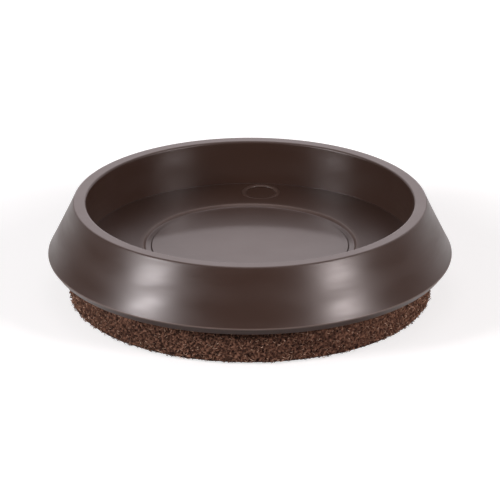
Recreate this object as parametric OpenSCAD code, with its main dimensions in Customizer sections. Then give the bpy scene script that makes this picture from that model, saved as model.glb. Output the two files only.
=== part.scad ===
// Round furniture slider: a moulded cup that takes a furniture foot, standing on a thick felt disc.
// All sizes are in millimetres. The felt's underside lies at z = 0 and the axis of the cup is Z.

/* [Cup] */
// Diameter of the mouth, inside the rim
mouth_d = 50; // [40:0.5:80]
// Width of the flat land on top of the rim
rim_land = 1.9; // [1.2:0.1:4]
// Depth of the recess from the rim to its floor
recess_depth = 7.05; // [5:0.05:20]
// Thickness of the floor's round middle above the felt's seat
floor_t = 1.25; // [1:0.05:5]
// How far the conical skirt flares out past the rim
skirt_flare = 4; // [1.5:0.1:10]
// Height of the rounded shoulder below the widest edge
shoulder_h = 1.2; // [0.8:0.1:3]
// How far the shoulder draws in below the widest edge
shoulder_inset = 0.9; // [0.6:0.1:2]
// Width of the flat lip around the felt
lip_w = 1.95; // [1.2:0.05:4]

/* [Recess floor] */
// Width of the plain floor between the recess wall and the groove
groove_border = 8.7; // [3:0.1:12]
// Width of the round groove in the floor
groove_w = 1.3; // [1:0.1:3]
// Depth of the groove below the floor's round middle
groove_depth = 0.15; // [0.1:0.05:0.25]
// How far the round middle lies below the floor around it
middle_drop = 0.2; // [0:0.05:0.25]

/* [Felt pad] */
// Thickness of the felt disc
felt_t = 6.6; // [3:0.1:12]
// How deep the felt and its adhesive sit in the cup
seat_depth = 1; // [0.5:0.1:2]
// Gap between the felt's side and its seat
felt_clearance = 0.35; // [0.1:0.05:1]

/* [Adhesive layer] */
// Thickness of the adhesive between the cup and the felt
adhesive_t = 0.3; // [0.1:0.05:0.8]
// How far the adhesive stays back from the felt's side
adhesive_inset = 0.8; // [0.2:0.1:3]

/* [Edge roundings] */
// Radius on both edges of the rim
rim_round = 0.35; // [0.1:0.05:0.6]
// Radius on the widest edge
edge_round = 0.25; // [0.1:0.05:0.4]
// Radius between the shoulder and the lip
crest_round = 0.6; // [0.2:0.05:0.8]
// Radius between the recess wall and its floor
floor_round = 0.1; // [0.05:0.05:1]
// Radius on the lip's edge beside the felt
lip_round = 0.2; // [0.1:0.05:0.4]
// Radius on the edges of the groove
groove_round = 0.1; // [0.05:0.01:0.15]
// Radius on the felt's lower edge
felt_round = 0.5; // [0.2:0.1:1]

/* [Hidden] */

$fn = 180;
rounding_steps = 6;
cup_colour = "#3c2c25";
adhesive_colour = "#d8cfae";
felt_colour = "#74503f";

// Radii, from the mouth outwards and then back in to the felt
mouth_r = mouth_d / 2;
rim_r = mouth_r + rim_land;
widest_r = rim_r + skirt_flare;
crest_r = widest_r - shoulder_inset;
seat_r = crest_r - lip_w;
felt_r = seat_r - felt_clearance;
adhesive_r = felt_r - adhesive_inset;
groove_outer_r = mouth_r - groove_border;
groove_inner_r = groove_outer_r - groove_w;

// The groove's sides slope as far in as they are high
groove_floor_outer_r = groove_outer_r - groove_depth - middle_drop;
groove_floor_inner_r = groove_inner_r + groove_depth;

// Heights, from the felt's underside upwards
seat_z = felt_t + adhesive_t;
lip_z = seat_z - seat_depth;
widest_z = lip_z + shoulder_h;
middle_z = seat_z + floor_t;
groove_z = middle_z - groove_depth;
floor_z = middle_z + middle_drop;
top_z = floor_z + recess_depth;

// Half sections as corners: radius, height and the rounding there
cup_section = [
    [0, seat_z, 0],
    [seat_r, seat_z, 0],
    [seat_r, lip_z, lip_round],
    [crest_r, lip_z, crest_round],
    [widest_r, widest_z, edge_round],
    [rim_r, top_z, rim_round],
    [mouth_r, top_z, rim_round],
    [mouth_r, floor_z, floor_round],
    [groove_outer_r, floor_z, groove_round],
    [groove_floor_outer_r, groove_z, groove_round],
    [groove_floor_inner_r, groove_z, groove_round],
    [groove_inner_r, middle_z, groove_round],
    [0, middle_z, 0],
];
felt_section = [
    [0, 0, 0],
    [felt_r, 0, felt_round],
    [felt_r, felt_t, 0],
    [0, felt_t, 0],
];

function point(corner) = [corner.x, corner.y];
function unit(v) = v / norm(v);
function bearing(v) = atan2(v.y, v.x);

// Turn from one bearing to another, the short way round
function turn(from, to) = (to - from + 540) % 360 - 180;

// Points along the arc that rounds corner b, between its neighbours a and c
function arc(a, b, c, radius) =
    let (
        to_a = unit(a - b),
        to_c = unit(c - b),
        half = acos(to_a * to_c) / 2,
        run = radius / tan(half),
        centre = b + unit(to_a + to_c) * radius / sin(half),
        start = bearing(b + to_a * run - centre),
        sweep = turn(start, bearing(b + to_c * run - centre))
    )
    [
        for (i = [0 : rounding_steps])
            let (angle = start + sweep * i / rounding_steps)
            centre + radius * [cos(angle), sin(angle)]
    ];

// Outline of a half section with each of its corners rounded
function rounded(corners) =
    let (count = len(corners))
    [
        for (i = [0 : count - 1])
            let (
                before = point(corners[(i + count - 1) % count]),
                here = point(corners[i]),
                after = point(corners[(i + 1) % count]),
                radius = corners[i].z
            )
            each radius > 0 ? arc(before, here, after, radius) : [here]
    ];

// Solid turned from a half section
module turned(corners) {
    rotate_extrude()
        polygon(rounded(corners));
}

// Moulded cup: recess above, conical skirt outside, seat for the felt below
module cup() {
    color(cup_colour)
        turned(cup_section);
}

// Thin layer that bonds the felt to the cup
module adhesive_disc() {
    color(adhesive_colour)
        translate([0, 0, felt_t])
            cylinder(r = adhesive_r, h = adhesive_t);
}

// Thick felt disc that slides on the floor
module felt_pad() {
    color(felt_colour)
        turned(felt_section);
}

cup();
adhesive_disc();
felt_pad();
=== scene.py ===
"""Furniture slider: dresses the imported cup, adhesive and felt, and sets up the studio view."""
import math

import bpy
import numpy as np
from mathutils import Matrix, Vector, noise


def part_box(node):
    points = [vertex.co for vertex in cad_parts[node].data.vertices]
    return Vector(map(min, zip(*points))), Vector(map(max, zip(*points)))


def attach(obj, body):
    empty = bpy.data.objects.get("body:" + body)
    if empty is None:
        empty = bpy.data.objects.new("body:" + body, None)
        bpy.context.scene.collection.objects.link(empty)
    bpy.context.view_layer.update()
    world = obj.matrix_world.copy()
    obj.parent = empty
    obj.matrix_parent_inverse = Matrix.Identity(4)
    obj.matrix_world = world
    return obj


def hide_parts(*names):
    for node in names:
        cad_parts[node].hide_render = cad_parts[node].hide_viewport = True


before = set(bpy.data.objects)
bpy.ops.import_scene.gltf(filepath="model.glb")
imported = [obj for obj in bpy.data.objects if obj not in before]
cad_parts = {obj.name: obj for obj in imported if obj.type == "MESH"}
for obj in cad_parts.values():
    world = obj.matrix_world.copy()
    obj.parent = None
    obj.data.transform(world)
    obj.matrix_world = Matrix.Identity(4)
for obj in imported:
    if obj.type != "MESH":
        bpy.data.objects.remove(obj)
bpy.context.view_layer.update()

MM = 0.001
BODY = "root"

# Heights and radii that the frame gives, in metres
TOP_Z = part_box("cup")[1].z
LIP_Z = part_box("cup")[0].z
SEAT_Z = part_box("adhesive_disc")[1].z
FELT_TOP_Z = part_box("felt_pad")[1].z
FELT_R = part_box("felt_pad")[1].x

# Sizes of the cup that its box doesn't give
MOUTH_R = 25.0 * MM
RIM_R = MOUTH_R + 1.9 * MM
WIDEST_R = RIM_R + 4.0 * MM
CREST_R = WIDEST_R - 0.9 * MM
SEAT_R = CREST_R - 1.95 * MM
FLOOR_Z = TOP_Z - 7.05 * MM
MIDDLE_Z = FLOOR_Z - 0.2 * MM
WIDEST_Z = LIP_Z + 1.2 * MM
RIM_ROUND = 0.35 * MM
EDGE_ROUND = 0.25 * MM
CREST_ROUND = 0.6 * MM
FLOOR_ROUND = 0.04 * MM
LIP_ROUND = 0.2 * MM

# Groove in the recess floor, with sides that slope as far in as they are high
GROOVE_Z = MIDDLE_Z - 0.15 * MM
GROOVE_OUTER_R = 16.3 * MM
GROOVE_INNER_R = GROOVE_OUTER_R - 1.3 * MM
GROOVE_FLOOR_OUTER_R = GROOVE_OUTER_R - (FLOOR_Z - GROOVE_Z)
GROOVE_FLOOR_INNER_R = GROOVE_INNER_R + (MIDDLE_Z - GROOVE_Z)
GROOVE_ROUND = 0.15 * MM

# Witness ring that the ejector pin left on the recess floor
PIN_MARK_AT = (1.7 * MM, 21.2 * MM)
PIN_MARK_R = 2.6 * MM
PIN_MARK_W = 0.8 * MM
PIN_MARK_H = 0.12 * MM
PIN_MARK_TILT = 0.1 * MM

# How far the skirt sinks in at half its height
SINK_DEPTH = 0.06 * MM

# Painted highlight, a lighter colour that also passes for wear, from 0 to 1: on the widest edge, on the
# groove's edge and on the pin mark's far half, and the share of the widest edge's rounding that carries it
EDGE_WEAR_AND_HIGHLIGHT = 0.3
GROOVE_WEAR_AND_HIGHLIGHT = 0.15
PIN_MARK_FAR_HIGHLIGHT = 0.07
EDGE_HIGHLIGHT_SHARE = 0.65

# Felt body, which is smaller than the pad by a skin of fibres
FELT_SKIN = 0.24 * MM
FELT_BODY_R = FELT_R - FELT_SKIN
FELT_EDGE_ROUND = 0.45 * MM

# Lumps in the felt, coarse and fine, and the radii between which they begin to push sideways
FELT_LUMP = 0.13 * MM
COARSE_LUMP_SIZE = np.array([0.29, 0.29, 0.33]) * MM
FINE_LUMP_SIZE = np.array([0.2, 0.2, 0.22]) * MM
COARSE_LUMP_WEIGHT = 1.5
FINE_LUMP_WEIGHT = 0.8
COARSE_LUMP_SEED = 1
FINE_LUMP_SEED = 2
FACE_LUMP_SHARE = 0.5
SIDE_LUMPS_FROM_R = FELT_R - 1.2 * MM
SIDE_LUMPS_FULL_R = FELT_R - 0.4 * MM

# Tone of the felt's face, from 0 to 1, and how deep inside the body's side the face begins
FELT_FACE_TONE = 0.6
FELT_SIDE_DEPTH = 1.5 * FELT_LUMP

# Fibres on the felt's side, with angles in radians: a few of them, the strays, have an end that reaches out
SIDE_FIBRES = 7500
SIDE_FIBRE_SEED = 5
SIDE_FIBRE_LENGTH = (0.3 * MM, 1.0 * MM)
SIDE_FIBRE_THICK = (0.03 * MM, 0.06 * MM)
SIDE_FIBRE_MIDDLE_Z = (0.3 * MM, LIP_Z + 0.2 * MM)
SIDE_FIBRE_END_Z = (0.12 * MM, LIP_Z + 0.25 * MM)
SIDE_FIBRE_LEAN = (-1.3, 1.3)
SIDE_FIBRE_BEND = 0.7
SIDE_FIBRE_LIFT = (0.0, 0.26 * MM)
SIDE_FIBRE_END_SINK = 0.08 * MM
STRAY_SHARE = 0.05
STRAY_REACH = (0.2 * MM, 0.5 * MM)

# Fibres on the felt's underside, likewise
FACE_FIBRES = 7500
FACE_FIBRE_SEED = 6
FACE_FIBRE_LENGTH = (0.7 * MM, 2.2 * MM)
FACE_FIBRE_THICK = (0.025 * MM, 0.05 * MM)
FACE_FIBRE_MIDDLE_R = FELT_R - 0.5 * MM
FACE_FIBRE_BEND = 0.8
FACE_FIBRE_LIFT = (-0.03 * MM, 0.08 * MM)
FACE_FIBRE_END_SINK = 0.05 * MM
FACE_FIBRE_TONE = (0.2, 0.85)

# How finely the surfaces are drawn
CUP_SEGMENTS = 360
CUP_STEP = 0.6 * MM
FELT_SEGMENTS = 1300
FELT_STEP = 0.115 * MM
FELT_FACE_STEP = 2.8 * MM
ARC_STEPS = 8
ARC_SUPPORT = 0.02 * MM
PIN_MARK_AROUND = 64
PIN_MARK_ACROSS = 12

# A fibre's rings, from end to end: where they lie and the share of its thickness that they have
FIBRE_TAPER_SHARES = np.array([0.35, 0.9, 1.0, 0.9, 0.35])
FIBRE_RINGS = len(FIBRE_TAPER_SHARES)
FIBRE_SIDES = 3
ALONG_FIBRE = np.linspace(-1, 1, FIBRE_RINGS)[None, :]

# Share of its cell in the map that a fibre leaves free on each side
MAP_MARGIN_SHARE = 0.1

# How far a mesh noise is shifted for each step of its seed
NOISE_SHIFT = Vector((17.3, 5.9, 11.1))


# Meshes

def unit(v):
    return v / np.linalg.norm(v, axis=-1, keepdims=True)


def rounded(corners):
    """Outline of a half section through corners (radius, height, rounding), with each corner rounded."""
    points = [np.array(corners[0][:2])]
    for before, here, after in zip(corners, corners[1:], corners[2:]):
        a, b, c = (np.array(corner[:2]) for corner in (before, here, after))
        radius = here[2]
        if radius == 0:
            points.append(b)
            continue
        to_a, to_c = unit(a - b), unit(c - b)
        half = math.acos(to_a @ to_c) / 2
        run = radius / math.tan(half)
        centre = b + unit(to_a + to_c) * radius / math.sin(half)
        start, end = (math.atan2(*(b + to * run - centre)[::-1]) for to in (to_a, to_c))
        sweep = (end - start + math.pi) % (2 * math.pi) - math.pi
        points.append(b + to_a * (run + ARC_SUPPORT))
        for i in range(ARC_STEPS + 1):
            angle = start + sweep * i / ARC_STEPS
            points.append(centre + radius * np.array([math.cos(angle), math.sin(angle)]))
        points.append(b + to_c * (run + ARC_SUPPORT))
    points.append(np.array(corners[-1][:2]))
    return np.array(points)


def refined(outline, longest):
    """The same outline, with no stretch longer than this."""
    points = [outline[0]]
    for a, b in zip(outline, outline[1:]):
        count = max(1, math.ceil(np.linalg.norm(b - a) / longest))
        points.extend(a + (b - a) * i / count for i in range(1, count + 1))
    return np.array(points)


def mesh_piece(name, vertices, faces, uvs):
    """Smooth mesh object, with the map that its material can be baked through."""
    mesh = bpy.data.meshes.new(name)
    mesh.from_pydata(vertices, [], faces)
    mesh.polygons.foreach_set("use_smooth", [True] * len(mesh.polygons))
    layer = mesh.uv_layers.new(name="OFBake")
    layer.data.foreach_set("uv", np.array(uvs, dtype=np.float32).ravel())
    mesh.update()
    piece = bpy.data.objects.new(name, mesh)
    bpy.context.scene.collection.objects.link(piece)
    return piece


def vertices_of(piece):
    return np.array([vertex.co for vertex in piece.data.vertices])


def radius_of(points):
    return np.hypot(points[..., 0], points[..., 1])


def add_value(piece, name, values):
    """Gives each vertex a value that its material reads."""
    layer = piece.data.attributes.new(name, "FLOAT", "POINT")
    layer.data.foreach_set("value", np.asarray(values, dtype=np.float32))


def turned(name, outline, segments, shape):
    """Closed piece turned about Z from an outline that starts and ends on the axis.

    The outline runs anticlockwise, and shape moves the points between its ends."""
    angle = np.arange(segments) * (2 * math.pi / segments)
    ring = outline[1:-1]
    points = shape(np.stack([
        ring[:, :1] * np.cos(angle),
        ring[:, :1] * np.sin(angle),
        np.repeat(ring[:, 1:], segments, axis=1),
    ], axis=-1))
    rows = len(ring)
    vertices = points.reshape(-1, 3).tolist() + [(0, 0, outline[0][1]), (0, 0, outline[-1][1])]
    bottom, top = rows * segments, rows * segments + 1
    along = np.concatenate([[0], np.cumsum(np.linalg.norm(np.diff(outline, axis=0), axis=1))])
    v = along / along[-1]
    faces, uvs = [], []
    for j in range(segments):
        k = (j + 1) % segments
        u0, u1 = j / segments, (j + 1) / segments
        middle = (u0 + u1) / 2
        faces.append((bottom, k, j))
        uvs += [(middle, v[0]), (u1, v[1]), (u0, v[1])]
        for i in range(rows - 1):
            here, above = i * segments, (i + 1) * segments
            faces.append((here + j, here + k, above + k, above + j))
            uvs += [(u0, v[i + 1]), (u1, v[i + 1]), (u1, v[i + 2]), (u0, v[i + 2])]
        last = (rows - 1) * segments
        faces.append((last + j, last + k, top))
        uvs += [(u0, v[-2]), (u1, v[-2]), (middle, v[-1])]
    return mesh_piece(name, vertices, faces, uvs)


def noise_at(points, size, seed):
    """Smooth noise from about -1 to 1 at each point, with features of about this size."""
    shift = NOISE_SHIFT * seed
    flat = points.reshape(-1, 3) / size
    return np.array([noise.noise(Vector(p) + shift) for p in flat]).reshape(points.shape[:-1])


# Cup

def cup_corners():
    return [
        (0, SEAT_Z, 0),
        (SEAT_R, SEAT_Z, 0),
        (SEAT_R, LIP_Z, LIP_ROUND),
        (CREST_R, LIP_Z, CREST_ROUND),
        (WIDEST_R, WIDEST_Z, EDGE_ROUND),
        (RIM_R, TOP_Z, RIM_ROUND),
        (MOUTH_R, TOP_Z, RIM_ROUND),
        (MOUTH_R, FLOOR_Z, FLOOR_ROUND),
        (GROOVE_OUTER_R, FLOOR_Z, GROOVE_ROUND),
        (GROOVE_FLOOR_OUTER_R, GROOVE_Z, GROOVE_ROUND),
        (GROOVE_FLOOR_INNER_R, GROOVE_Z, GROOVE_ROUND),
        (GROOVE_INNER_R, MIDDLE_Z, GROOVE_ROUND),
        (0, MIDDLE_Z, 0),
    ]


def with_sink(points):
    """Draws the skirt in a little at half its height."""
    radius = radius_of(points)
    share = (points[..., 2] - WIDEST_Z) / (TOP_Z - WIDEST_Z)
    on_skirt = (share > 0) & (radius > RIM_R - RIM_ROUND)
    dip = SINK_DEPTH * 4 * share * (1 - share)
    keep = np.where(on_skirt, 1 - dip / radius, 1)
    return points * np.stack([keep, keep, np.ones_like(keep)], axis=-1)


def near(piece, radius, z, reach):
    """Whether each vertex lies within reach of the circle at this radius and height."""
    points = vertices_of(piece)
    return np.hypot(radius_of(points) - radius, points[:, 2] - z) < reach


def is_polished(face):
    """Whether the face lies on the rim's land, or on the recess floor in the groove or inside it."""
    on_land = face.center.z > TOP_Z - RIM_ROUND / 10
    above_seat = face.center.z > (SEAT_Z + GROOVE_Z) / 2
    return on_land or (above_seat and face.center.xy.length < GROOVE_FLOOR_OUTER_R)


def make_cup(satin, polished):
    outline = refined(rounded(cup_corners()), CUP_STEP)
    piece = turned("cup_moulding", outline, CUP_SEGMENTS, with_sink)
    piece.data.materials.append(satin)
    piece.data.materials.append(polished)
    for face in piece.data.polygons:
        face.material_index = int(is_polished(face))
    # Painted highlight on the widest edge and the groove's edge, a lighter colour that also passes for wear
    edge = near(piece, WIDEST_R, WIDEST_Z, EDGE_ROUND * EDGE_HIGHLIGHT_SHARE)
    groove = near(piece, GROOVE_OUTER_R, FLOOR_Z, GROOVE_ROUND)
    add_value(piece, "wear_and_highlight", EDGE_WEAR_AND_HIGHLIGHT * edge + GROOVE_WEAR_AND_HIGHLIGHT * groove)
    # Painted shade in the corner where the recess wall meets its floor
    add_value(piece, "corner_shade", near(piece, MOUTH_R, FLOOR_Z, FLOOR_ROUND))
    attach(piece, BODY)
    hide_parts("cup")


def make_pin_mark(material):
    """Low closed ring on the recess floor, with its lower half in the plastic."""
    around, across = PIN_MARK_AROUND, PIN_MARK_ACROSS
    turn = np.arange(around) * (2 * math.pi / around)
    roll = np.arange(across) * (2 * math.pi / across)
    radius = PIN_MARK_R + PIN_MARK_W / 2 * np.cos(roll)
    height = FLOOR_Z + PIN_MARK_H * np.sin(roll)
    x, y = PIN_MARK_AT
    vertices = [
        (x + r * math.cos(t), y + r * math.sin(t), z + PIN_MARK_TILT * math.sin(t))
        for t in turn for r, z in zip(radius, height)
    ]
    faces, uvs = [], []
    for i in range(around):
        for j in range(across):
            k, m = (i + 1) % around, (j + 1) % across
            faces.append((i * across + j, k * across + j, k * across + m, i * across + m))
            corners = ((i, j), (i + 1, j), (i + 1, j + 1), (i, j + 1))
            uvs += [(a / around, b / across) for a, b in corners]
    piece = mesh_piece("ejector_pin_mark", vertices, faces, uvs)
    piece.data.materials.append(material)
    # Painted highlight: the far half of the ring is lighter
    add_value(piece, "wear_and_highlight", np.repeat(PIN_MARK_FAR_HIGHLIGHT * (1 + np.sin(turn)), across))
    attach(piece, BODY)


# Felt

def felt_corners():
    return [
        (0, FELT_SKIN, 0),
        (FELT_BODY_R, FELT_SKIN, FELT_EDGE_ROUND),
        (FELT_BODY_R, FELT_TOP_Z, 0),
        (0, FELT_TOP_Z, 0),
    ]


def felt_lumps(points):
    """How far the matted fibres stand out from the felt's side or face, from -1 to 1."""
    coarse = noise_at(points, COARSE_LUMP_SIZE, COARSE_LUMP_SEED)
    fine = noise_at(points, FINE_LUMP_SIZE, FINE_LUMP_SEED)
    return np.clip(COARSE_LUMP_WEIGHT * coarse + FINE_LUMP_WEIGHT * fine, -1, 1)


def with_lumps(points):
    """Makes the felt's side and underside uneven."""
    out = points.copy()
    radius = radius_of(points)
    push = FELT_LUMP * felt_lumps(points)
    push[points[..., 2] > FELT_TOP_Z - FELT_STEP / 2] = 0
    sideways = (radius - SIDE_LUMPS_FROM_R) / (SIDE_LUMPS_FULL_R - SIDE_LUMPS_FROM_R)
    out[..., :2] *= (1 + push * np.clip(sideways, 0, 1) / radius)[..., None]
    on_face = points[..., 2] < FELT_SKIN + FELT_STEP
    out[..., 2] += np.where(on_face, np.abs(push) * FACE_LUMP_SHARE, 0)
    return out


def make_felt_body(material):
    """The pad without its loose fibres, with painted shade on its side: lighter where the side stands out,
    darker in its hollows.
    """
    section = rounded(felt_corners())
    face, side, middle = section[:2], section[1:-1], section[-1:]
    outline = np.concatenate([refined(face, FELT_FACE_STEP)[:-1], refined(side, FELT_STEP), middle])
    piece = turned("felt_body", outline, FELT_SEGMENTS, with_lumps)
    piece.data.materials.append(material)
    out = radius_of(vertices_of(piece)) - FELT_BODY_R
    # Painted shade: the side is darker in its hollows and lighter where it stands out
    side_shade = (1 + out / FELT_LUMP) / 2
    add_value(piece, "tone", np.where(out > -FELT_SIDE_DEPTH, side_shade, FELT_FACE_TONE))
    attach(piece, BODY)
    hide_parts("felt_pad")


def bent(heading, bend, length):
    """How far curves of these lengths run along two axes, on both sides of their middles."""
    angle = heading[:, None] + bend[:, None] * ALONG_FIBRE / 2
    runs = (np.cumsum(np.cos(angle), axis=1), np.cumsum(np.sin(angle), axis=1))
    return [(run - run.mean(1, keepdims=True)) * length[:, None] / FIBRE_RINGS for run in runs]


def arched(lift, end_sink):
    """How far arches of these heights stand out along their lengths, with their ends sunk in."""
    return lift[:, None] * (1 - ALONG_FIBRE ** 2) - end_sink * ALONG_FIBRE ** 2


def fibre_faces(count):
    """Faces of this many tubes, and a map in which each tube has a cell to itself."""
    rings, sides = FIBRE_RINGS, FIBRE_SIDES
    start = (np.arange(count) * rings * sides)[:, None]
    quads, quad_uvs = [], []
    for i in range(rings - 1):
        for s in range(sides):
            t = (s + 1) % sides
            here, ahead = i * sides, (i + 1) * sides
            quads.append(start + np.array([here + s, here + t, ahead + t, ahead + s]))
            quad_uvs.append([(i, s), (i, s + 1), (i + 1, s + 1), (i + 1, s)])
    last = (rings - 1) * sides
    caps = [start + np.array([0, 2, 1]), start + np.array([last, last + 1, last + 2])]
    cap_uvs = [[(0, 0), (0, 2), (0, 1)], [(rings - 1, 0), (rings - 1, 1), (rings - 1, 2)]]
    cells = math.ceil(math.sqrt(count))
    cell = np.stack([np.arange(count) % cells, np.arange(count) // cells], axis=-1)
    corner = cell[:, None, :] + MAP_MARGIN_SHARE
    spread = (1 - 2 * MAP_MARGIN_SHARE) / np.array([rings - 1, sides])
    uvs = [((corner + spread * np.array(uv)) / cells).reshape(-1, 2) for uv in quad_uvs + cap_uvs]
    return np.concatenate(quads).tolist() + np.concatenate(caps).tolist(), np.concatenate(uvs)


def fibre_piece(name, lines, outward, thick, tone, material):
    """One piece of many closed fibres, tubes along these lines, with a tone for each."""
    along = unit(np.gradient(lines, axis=1))
    across = unit(np.cross(outward[:, None, :], along))
    upward = np.cross(along, across)
    turn = np.arange(FIBRE_SIDES) * (2 * math.pi / FIBRE_SIDES) + math.pi / 2
    offset = (across[:, :, None, :] * np.cos(turn)[None, None, :, None]
              + upward[:, :, None, :] * np.sin(turn)[None, None, :, None])
    reach = thick[:, None] * FIBRE_TAPER_SHARES
    points = lines[:, :, None, :] + offset * reach[:, :, None, None]
    piece = mesh_piece(name, points.reshape(-1, 3).tolist(), *fibre_faces(len(lines)))
    piece.data.materials.append(material)
    add_value(piece, "tone", np.repeat(tone, FIBRE_RINGS * FIBRE_SIDES))
    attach(piece, BODY)


def make_side_fibres(material):
    """Short fibres that lie on the felt's side, a few of them with an end that stands out."""
    rng = np.random.default_rng(SIDE_FIBRE_SEED)
    count = SIDE_FIBRES
    turn = rng.uniform(0, 2 * math.pi, count)
    z = rng.uniform(*SIDE_FIBRE_MIDDLE_Z, count)
    length = rng.uniform(*SIDE_FIBRE_LENGTH, count)
    lean = rng.uniform(*SIDE_FIBRE_LEAN, count)
    bend = rng.normal(0, SIDE_FIBRE_BEND, count)
    lift = rng.uniform(*SIDE_FIBRE_LIFT, count)
    stray = rng.random(count) < STRAY_SHARE
    reach = np.where(stray, rng.uniform(*STRAY_REACH, count), 0)
    thick = rng.uniform(*SIDE_FIBRE_THICK, count)
    tone = rng.random(count)
    run, climb = bent(lean, bend, length)
    poke = reach[:, None] * np.clip(ALONG_FIBRE, 0, 1)
    radius = FELT_BODY_R + arched(lift, SIDE_FIBRE_END_SINK) + poke
    theta = turn[:, None] + run / FELT_R
    height = np.clip(z[:, None] + climb, *SIDE_FIBRE_END_Z)
    lines = np.stack([radius * np.cos(theta), radius * np.sin(theta), height], axis=-1)
    outward = np.stack([np.cos(turn), np.sin(turn), np.zeros(count)], axis=-1)
    fibre_piece("felt_side_fibres", lines, outward, thick, tone, material)


def make_face_fibres(material):
    """Longer fibres that lie on the felt's underside."""
    rng = np.random.default_rng(FACE_FIBRE_SEED)
    count = FACE_FIBRES
    turn = rng.uniform(0, 2 * math.pi, count)
    middle_r = FACE_FIBRE_MIDDLE_R * np.sqrt(rng.random(count))
    length = rng.uniform(*FACE_FIBRE_LENGTH, count)
    heading = rng.uniform(0, 2 * math.pi, count)
    bend = rng.normal(0, FACE_FIBRE_BEND, count)
    lift = rng.uniform(*FACE_FIBRE_LIFT, count)
    thick = rng.uniform(*FACE_FIBRE_THICK, count)
    tone = rng.uniform(*FACE_FIBRE_TONE, count)
    run_x, run_y = bent(heading, bend, length)
    x = (middle_r * np.cos(turn))[:, None] + run_x
    y = (middle_r * np.sin(turn))[:, None] + run_y
    inside = np.minimum(1, FELT_BODY_R / np.hypot(x, y))
    z = FELT_SKIN - arched(lift, FACE_FIBRE_END_SINK)
    lines = np.stack([x * inside, y * inside, z], axis=-1)
    outward = np.repeat([[0.0, 0.0, -1.0]], count, axis=0)
    fibre_piece("felt_face_fibres", lines, outward, thick, tone, material)


# Nodes

def feed(tree, socket, value):
    """Links another node's output to the socket, or sets the socket to a plain value."""
    if isinstance(value, bpy.types.NodeSocket):
        tree.links.new(value, socket)
    else:
        socket.default_value = value


def math_node(tree, operation, first, second=0.0):
    node = tree.nodes.new("ShaderNodeMath")
    node.operation = operation
    feed(tree, node.inputs[0], first)
    feed(tree, node.inputs[1], second)
    return node.outputs["Value"]


def vector_node(tree, operation, first, second=(0, 0, 0)):
    """A number worked out from two vectors."""
    node = tree.nodes.new("ShaderNodeVectorMath")
    node.operation = operation
    feed(tree, node.inputs[0], first)
    feed(tree, node.inputs[1], second)
    return node.outputs["Value"]


def mix_node(tree, factor, first, second, kind="FLOAT", blend="MIX"):
    node = tree.nodes.new("ShaderNodeMix")
    node.data_type = kind
    node.blend_type = blend
    feed(tree, node.inputs["Factor"], factor)
    feed(tree, node.inputs["A"], first)
    feed(tree, node.inputs["B"], second)
    return node.outputs["Result"]


def place_node(tree, kind):
    return tree.nodes.new("ShaderNodeTexCoord").outputs[kind]


def value_node(tree, name):
    """The value that the vertices carry under this name."""
    node = tree.nodes.new("ShaderNodeAttribute")
    node.attribute_name = name
    return node.outputs["Fac"]


def noise_node(tree, scale, detail, stretch=(1, 1, 1)):
    mapping = tree.nodes.new("ShaderNodeMapping")
    mapping.inputs["Scale"].default_value = stretch
    feed(tree, mapping.inputs["Vector"], place_node(tree, "Object"))
    texture = tree.nodes.new("ShaderNodeTexNoise")
    texture.inputs["Scale"].default_value = scale
    texture.inputs["Detail"].default_value = detail
    feed(tree, texture.inputs["Vector"], mapping.outputs["Vector"])
    return texture.outputs["Fac"]


# What the wave texture multiplies its place by, besides its scale
WAVE_FACTOR = 20


def band_node(tree, spacing, crest_z, distortion):
    """Level bands, one at this height and the others at this spacing, that wander a little."""
    wave = tree.nodes.new("ShaderNodeTexWave")
    wave.bands_direction = "Z"
    turns = 2 * math.pi / spacing
    wave.inputs["Scale"].default_value = turns / WAVE_FACTOR
    wave.inputs["Phase Offset"].default_value = math.pi - crest_z * turns
    wave.inputs["Distortion"].default_value = distortion
    wave.inputs["Detail"].default_value = 1
    feed(tree, wave.inputs["Vector"], place_node(tree, "Object"))
    return wave.outputs["Fac"]


def ramp_node(tree, value, stops):
    ramp = tree.nodes.new("ShaderNodeValToRGB")
    elements = ramp.color_ramp.elements
    while len(elements) < len(stops):
        elements.new(1)
    for element, (position, colour) in zip(elements, stops):
        element.position = position
        element.color = (*colour, 1)
    feed(tree, ramp.inputs["Fac"], value)
    return ramp.outputs["Color"]


def range_node(tree, value, before, after, smooth=False):
    """Spreads the range before, a pair of values, over the range after."""
    node = tree.nodes.new("ShaderNodeMapRange")
    node.interpolation_type = "SMOOTHSTEP" if smooth else "LINEAR"
    node.inputs["From Min"].default_value, node.inputs["From Max"].default_value = before
    node.inputs["To Min"].default_value, node.inputs["To Max"].default_value = after
    feed(tree, node.inputs["Value"], value)
    return node.outputs["Result"]


def bump_node(tree, height, distance, strength, under=None):
    node = tree.nodes.new("ShaderNodeBump")
    node.inputs["Distance"].default_value = distance
    node.inputs["Strength"].default_value = strength
    feed(tree, node.inputs["Height"], height)
    if under is not None:
        feed(tree, node.inputs["Normal"], under)
    return node.outputs["Normal"]


# Materials

# Noises: features to the metre, detail and, where one is stretched, the scale along each axis
SHADE_NOISE = (60, 3)
STREAK_NOISE = (250, 4, (1, 1, 6))
WAVE_NOISE = (900, 3)
LINE_NOISE = (200, 3, (1, 1, 12))
COAT_NOISE = (1800, 3)
PATCH_NOISE = (2200, 4)
FELT_NOISE = (4500, 3)
ADHESIVE_NOISE = (400, 3)

# The whole range of a value, and the middle of a noise's range, where most of it lies
WHOLE = (0, 1)
NOISE_MIDDLE = (0.35, 0.65)

# Bumps: height and strength
WAVE_BUMP = (0.006 * MM, 0.5)
LINE_BUMP = (0.004 * MM, 0.5)
COAT_BUMP = (0.008 * MM, 0.6)
FELT_BUMP = (0.15 * MM, 1.0)
ADHESIVE_BUMP = (0.05 * MM, 0.4)

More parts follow.
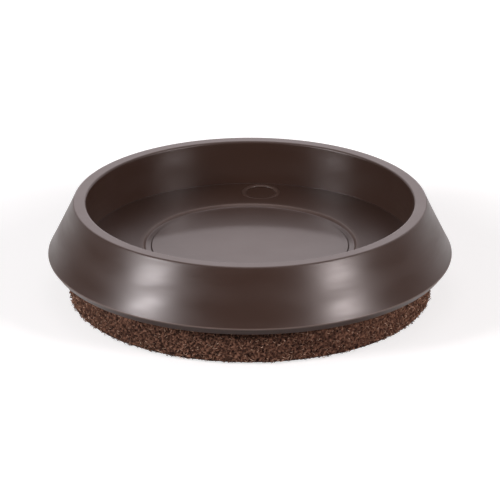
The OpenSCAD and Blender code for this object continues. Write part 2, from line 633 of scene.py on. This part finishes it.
# Plastic: its shades, its tints for painted highlights on edges (which also pass for wear) and for painted
# shade in the recess corner, and what makes its gloss
PLASTIC_SHADES = ((0.3, (0.037, 0.0188, 0.0128)), (0.7, (0.042, 0.0222, 0.0155)))
WEAR_AND_HIGHLIGHT_TINT = (0.30, 0.23, 0.20)
CORNER_SHADE_TINT = (0.020, 0.011, 0.008)
PLASTIC_IOR = 1.52
COAT_IOR = 1.22
COAT_ROUGH = 0.09

# Flow bands in the plastic's gloss: the height of one, their spacing, how far they wander, and the
# roughness from between two bands to the middle of one, give or take some for streaks
FLOW_Z = TOP_Z - 1.65 * MM
FLOW_SPACING = 4.5 * MM
FLOW_WANDER = 3.0
FLOW_ROUGH = (0.405, 0.345)
STREAK_ROUGH = (-0.016, 0.016)

# Felt: shades from dark to light, for the body, whose side they paint with shade in its hollows, and for
# the fibres, and patches that darken the body
FELT_BODY_SHADES = (
    (0.1, (0.021, 0.0095, 0.006)),
    (0.5, (0.104, 0.049, 0.031)),
    (0.9, (0.255, 0.131, 0.085)),
)
FELT_FIBRE_SHADES = (
    (0.0, (0.028, 0.012, 0.007)),
    (0.45, (0.110, 0.053, 0.033)),
    (0.8, (0.29, 0.158, 0.102)),
    (1.0, (0.74, 0.52, 0.38)),
)
FELT_PATCHES = ((0.35, (0.6, 0.6, 0.6)), (0.6, (1, 1, 1)))
FELT_BODY_ROUGH = 0.95
FELT_BODY_SPECULAR = 0.2
FELT_FIBRE_ROUGH = 0.8
FELT_FIBRE_SPECULAR = 0.3

ADHESIVE_SHADES = ((0.3, (0.62, 0.56, 0.38)), (0.7, (0.74, 0.68, 0.47)))
ADHESIVE_ROUGH = (0.4, 0.6)


def new_material(name):
    material = bpy.data.materials.new(name)
    material.use_nodes = True
    return material, material.node_tree, material.node_tree.nodes["Principled BSDF"]


def tinted(tree, colour, name, tint):
    """The colour, replaced by the tint as far as the vertices carry this value."""
    return mix_node(tree, value_node(tree, name), colour, (*tint, 1), "RGBA")


def plastic(name):
    """Dark brown satin plastic."""
    material, tree, shader = new_material(name)
    colour = ramp_node(tree, noise_node(tree, *SHADE_NOISE), PLASTIC_SHADES)
    # Lighter where the vertices carry painted highlight, and darker where they carry painted shade in the
    # recess corner
    colour = tinted(tree, colour, "wear_and_highlight", WEAR_AND_HIGHLIGHT_TINT)
    feed(tree, shader.inputs["Base Color"], tinted(tree, colour, "corner_shade", CORNER_SHADE_TINT))
    flow = band_node(tree, FLOW_SPACING, FLOW_Z, FLOW_WANDER)
    bands = range_node(tree, flow, WHOLE, FLOW_ROUGH)
    streaks = range_node(tree, noise_node(tree, *STREAK_NOISE), NOISE_MIDDLE, STREAK_ROUGH)
    feed(tree, shader.inputs["Roughness"], math_node(tree, "ADD", bands, streaks))
    shader.inputs["IOR"].default_value = PLASTIC_IOR
    waves = bump_node(tree, noise_node(tree, *WAVE_NOISE), *WAVE_BUMP)
    lines = bump_node(tree, noise_node(tree, *LINE_NOISE), *LINE_BUMP, under=waves)
    feed(tree, shader.inputs["Normal"], lines)
    return material


def polished_plastic():
    """The same plastic where a clear gloss lies over it."""
    material = plastic("cup_polished")
    tree = material.node_tree
    shader = tree.nodes["Principled BSDF"]
    shader.inputs["Coat Weight"].default_value = 1
    shader.inputs["Coat Roughness"].default_value = COAT_ROUGH
    shader.inputs["Coat IOR"].default_value = COAT_IOR
    grain = bump_node(tree, noise_node(tree, *COAT_NOISE), *COAT_BUMP)
    feed(tree, shader.inputs["Coat Normal"], grain)
    return material


def felt_mat():
    """Matted felt below the loose fibres."""
    material, tree, shader = new_material("felt_mat")
    # On the side the tone is painted shade, darker in the hollows between lumps
    colour = ramp_node(tree, value_node(tree, "tone"), FELT_BODY_SHADES)
    patches = ramp_node(tree, noise_node(tree, *PATCH_NOISE), FELT_PATCHES)
    mottled = mix_node(tree, 1, colour, patches, "RGBA", "MULTIPLY")
    feed(tree, shader.inputs["Base Color"], mottled)
    shader.inputs["Roughness"].default_value = FELT_BODY_ROUGH
    shader.inputs["Specular IOR Level"].default_value = FELT_BODY_SPECULAR
    grain = bump_node(tree, noise_node(tree, *FELT_NOISE), *FELT_BUMP)
    feed(tree, shader.inputs["Normal"], grain)
    return material


def felt_fibre():
    """Loose fibres of many shades."""
    material, tree, shader = new_material("felt_fibre")
    colour = ramp_node(tree, value_node(tree, "tone"), FELT_FIBRE_SHADES)
    feed(tree, shader.inputs["Base Color"], colour)
    shader.inputs["Roughness"].default_value = FELT_FIBRE_ROUGH
    shader.inputs["Specular IOR Level"].default_value = FELT_FIBRE_SPECULAR
    return material


def adhesive_film():
    """Pale, slightly uneven film of adhesive."""
    material, tree, shader = new_material("adhesive")
    grain = noise_node(tree, *ADHESIVE_NOISE)
    feed(tree, shader.inputs["Base Color"], ramp_node(tree, grain, ADHESIVE_SHADES))
    feed(tree, shader.inputs["Roughness"], range_node(tree, grain, NOISE_MIDDLE, ADHESIVE_ROUGH))
    feed(tree, shader.inputs["Normal"], bump_node(tree, grain, *ADHESIVE_BUMP))
    return material


# Studio

# View: elevation in degrees, distance, width of the frame and the point in its middle
VIEW_ELEVATION = 22.2
VIEW_DISTANCE = 0.744
FRAME_WIDTH = 0.0765
AIM = Vector((0, 0, 7.2 * MM))

WHITE = (1, 1, 1, 1)
BACKDROP_TINT = (1.0, 0.895, 0.915)
LEFT_TINT = (1.0, 0.94, 0.96)
RIGHT_TINT = (1.0, 0.90, 0.90)

# Softboxes: name, turn and elevation in degrees, distance, size, radiance and tint
SOFTBOXES = (
    ("softbox_left", -61.5, 22.5, 0.55, 0.2, 50, LEFT_TINT),
    ("softbox_right", 55.5, 23.5, 0.55, 0.2, 42, RIGHT_TINT),
    ("softbox_top", 0, 76, 0.6, 0.5, 1.2, BACKDROP_TINT),
)

# A softbox's middle and where it fades around it, in shares of its size
SOFTBOX_MIDDLE_SHARES = (0.5, 0.5, 0)
SOFTBOX_FADE_SHARES = (0.5, 0.15)

# World: its level on the part, and in reflections those of the backdrop and the ceiling, each with
# the range of its direction in which it grows to that level
WORLD_LEVEL = 0.12
BACKDROP_LEVEL = 1.25
BACKDROP_DIRECTION = (0.15, 1, 0.6)
BACKDROP_GROWS = (0.45, 1.0)
CEILING_LEVEL = 0.6
CEILING_DIRECTION = (0, 0, 1)
CEILING_GROWS = (0.65, 0.95)

# Floor: half its width, how far it lies below the part, its look under the shadow, its glow in
# reflections, and where it clears around the part and at the part's sides
FLOOR_HALF = 3.0
FLOOR_DROP = 0.05 * MM
FLOOR_GREY = (0.55, 0.55, 0.55, 1)
FLOOR_ROUGH = 0.9
SHADOW_GLOW = 0.66
MIRRORED_GLOW = 0.6
AROUND_CLEARS = (0.045, 0.09)
SIDES_CLEAR = (0.018, 0.03)
SIDEWAYS = (1, 0, 0)


def direction(turn, elevation):
    """Unit vector from the object, turned from the camera's side towards +X, in degrees."""
    turn, elevation = math.radians(turn), math.radians(elevation)
    flat = math.cos(elevation)
    return Vector((math.sin(turn) * flat, -math.cos(turn) * flat, math.sin(elevation)))


def look_at(piece, target):
    piece.rotation_euler = (target - piece.location).to_track_quat("-Z", "Y").to_euler()


def make_camera():
    data = bpy.data.cameras.new("camera")
    data.lens = data.sensor_width * VIEW_DISTANCE / FRAME_WIDTH
    camera = bpy.data.objects.new("camera", data)
    camera.location = AIM + direction(0, VIEW_ELEVATION) * VIEW_DISTANCE
    look_at(camera, AIM)
    bpy.context.scene.collection.objects.link(camera)
    bpy.context.scene.camera = camera


def make_softbox(name, turn, elevation, distance, size, radiance, tint):
    """Square panel that is brightest in the middle and fades out at its edges."""
    data = bpy.data.lights.new(name, "AREA")
    data.size = size
    data.energy = radiance * math.pi * size ** 2
    data.color = tint
    data.use_nodes = True
    tree = data.node_tree
    where = tree.nodes.new("ShaderNodeNewGeometry").outputs["Parametric"]
    off_middle = vector_node(tree, "DISTANCE", where, SOFTBOX_MIDDLE_SHARES)
    fade = range_node(tree, off_middle, SOFTBOX_FADE_SHARES, WHOLE, smooth=True)
    feed(tree, tree.nodes["Emission"].inputs["Strength"], fade)
    lamp = bpy.data.objects.new(name, data)
    lamp.location = direction(turn, elevation) * distance
    look_at(lamp, AIM)
    bpy.context.scene.collection.objects.link(lamp)


def ray_nodes(tree):
    """Whether a ray sees the surroundings directly, and whether it sees them in a reflection."""
    path = tree.nodes.new("ShaderNodeLightPath").outputs
    seen = math_node(tree, "MAXIMUM", path["Is Camera Ray"], path["Is Transmission Ray"])
    return seen, path["Is Glossy Ray"]


def make_world():
    """White where it is seen, and in reflections a bright backdrop behind the part and a ceiling."""
    world = bpy.data.worlds.new("studio")
    bpy.context.scene.world = world
    world.use_nodes = True
    tree = world.node_tree
    where = place_node(tree, "Generated")
    behind = vector_node(tree, "DOT_PRODUCT", where, BACKDROP_DIRECTION)
    backdrop = range_node(tree, behind, BACKDROP_GROWS, (WORLD_LEVEL, BACKDROP_LEVEL), smooth=True)
    above = vector_node(tree, "DOT_PRODUCT", where, CEILING_DIRECTION)
    ceiling = range_node(tree, above, CEILING_GROWS, (0, CEILING_LEVEL), smooth=True)
    seen, mirrored = ray_nodes(tree)
    level = mix_node(tree, mirrored, WORLD_LEVEL, math_node(tree, "ADD", backdrop, ceiling))
    background = tree.nodes["Background"]
    colour = mix_node(tree, seen, (*BACKDROP_TINT, 1), WHITE, "RGBA")
    feed(tree, background.inputs["Color"], colour)
    feed(tree, background.inputs["Strength"], mix_node(tree, seen, level, 1))


def floor_material():
    """White with the part's shadow where it is seen, and in reflections a glow with painted shade before
    and behind the part.
    """
    material, tree, shader = new_material("floor")
    shader.inputs["Base Color"].default_value = FLOOR_GREY
    shader.inputs["Roughness"].default_value = FLOOR_ROUGH
    shader.inputs["Specular IOR Level"].default_value = 0
    shader.inputs["Emission Color"].default_value = WHITE
    where = place_node(tree, "Object")
    around = range_node(tree, vector_node(tree, "LENGTH", where), AROUND_CLEARS, WHOLE)
    across = math_node(tree, "ABSOLUTE", vector_node(tree, "DOT_PRODUCT", where, SIDEWAYS))
    clear = math_node(tree, "MAXIMUM", around, range_node(tree, across, SIDES_CLEAR, WHOLE))
    # In reflections the floor glows, with painted shade in front of and behind the part where it doesn't
    # clear
    glow = range_node(tree, clear, WHOLE, (0, MIRRORED_GLOW))
    seen, mirrored = ray_nodes(tree)
    reflected = math_node(tree, "MULTIPLY", mirrored, glow)
    direct = range_node(tree, around, WHOLE, (SHADOW_GLOW, 1))
    feed(tree, shader.inputs["Emission Strength"], mix_node(tree, seen, reflected, direct))
    return material


def make_floor():
    half, z = FLOOR_HALF, -FLOOR_DROP
    corners = [(-half, -half, z), (half, -half, z), (half, half, z), (-half, half, z)]
    mesh = bpy.data.meshes.new("floor")
    mesh.from_pydata(corners, [], [(0, 1, 2, 3)])
    mesh.materials.append(floor_material())
    floor = bpy.data.objects.new("floor", mesh)
    bpy.context.scene.collection.objects.link(floor)


satin_plastic = plastic("cup_satin")
fibre_material = felt_fibre()
make_cup(satin_plastic, polished_plastic())
make_pin_mark(satin_plastic)
make_felt_body(felt_mat())
make_side_fibres(fibre_material)
make_face_fibres(fibre_material)
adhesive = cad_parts["adhesive_disc"]
adhesive.data.materials.clear()
adhesive.data.materials.append(adhesive_film())

make_camera()
for softbox in SOFTBOXES:
    make_softbox(*softbox)
make_world()
make_floor()
bpy.context.scene.view_settings.view_transform = "Standard"
